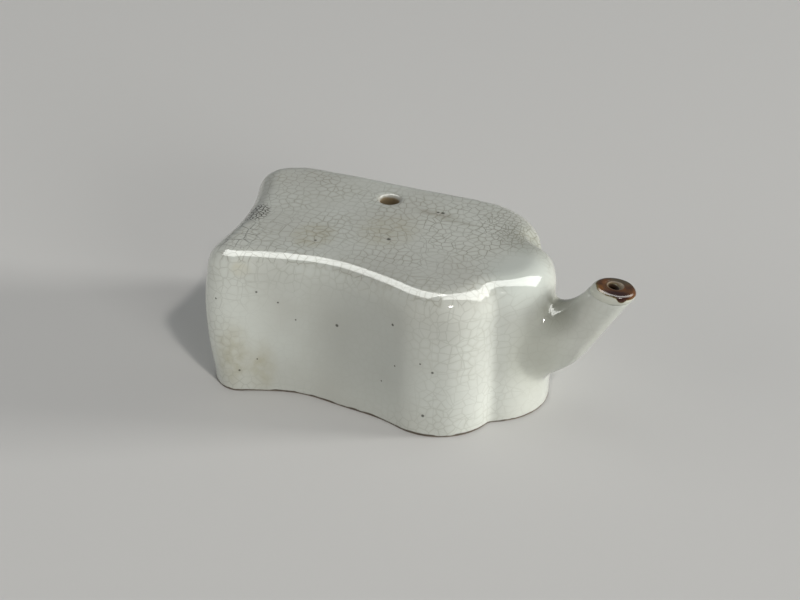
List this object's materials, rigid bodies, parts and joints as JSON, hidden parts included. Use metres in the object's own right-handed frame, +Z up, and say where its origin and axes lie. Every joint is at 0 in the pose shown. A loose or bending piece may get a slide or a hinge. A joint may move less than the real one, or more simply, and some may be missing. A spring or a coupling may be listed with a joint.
{
  "type": "water dropper",
  "caption": "Hollow lobed ceramic box with a vent hole in its flat top and a bent spout, for dripping water onto an ink stone.",
  "frame": {"origin": "on the foot's flat underside, under the middle of the body", "axes": "+Z up, +X along the body towards the spout, +Y towards the rear side that the vent hole is nearer to"},
  "size_m": [0.0786, 0.0422, 0.0282],
  "materials": {
    "crackle_glaze": "glossy pale grey-white glaze with a fine grey-brown crackle",
    "bare_clay": "dry unglazed stoneware, warm grey-brown",
    "iron_dressing": "glossy iron-brown dressing on the spout's lip"
  },
  "bodies": {
    "root": {"base_slab": "bare_clay", "front_wall": "crackle_glaze", "rear_wall": "crackle_glaze", "top_slab": "crackle_glaze", "spout_tube": "crackle_glaze", "spout_collar": "crackle_glaze", "mouth_lip": "iron_dressing"}
  },
  "joints": []
}
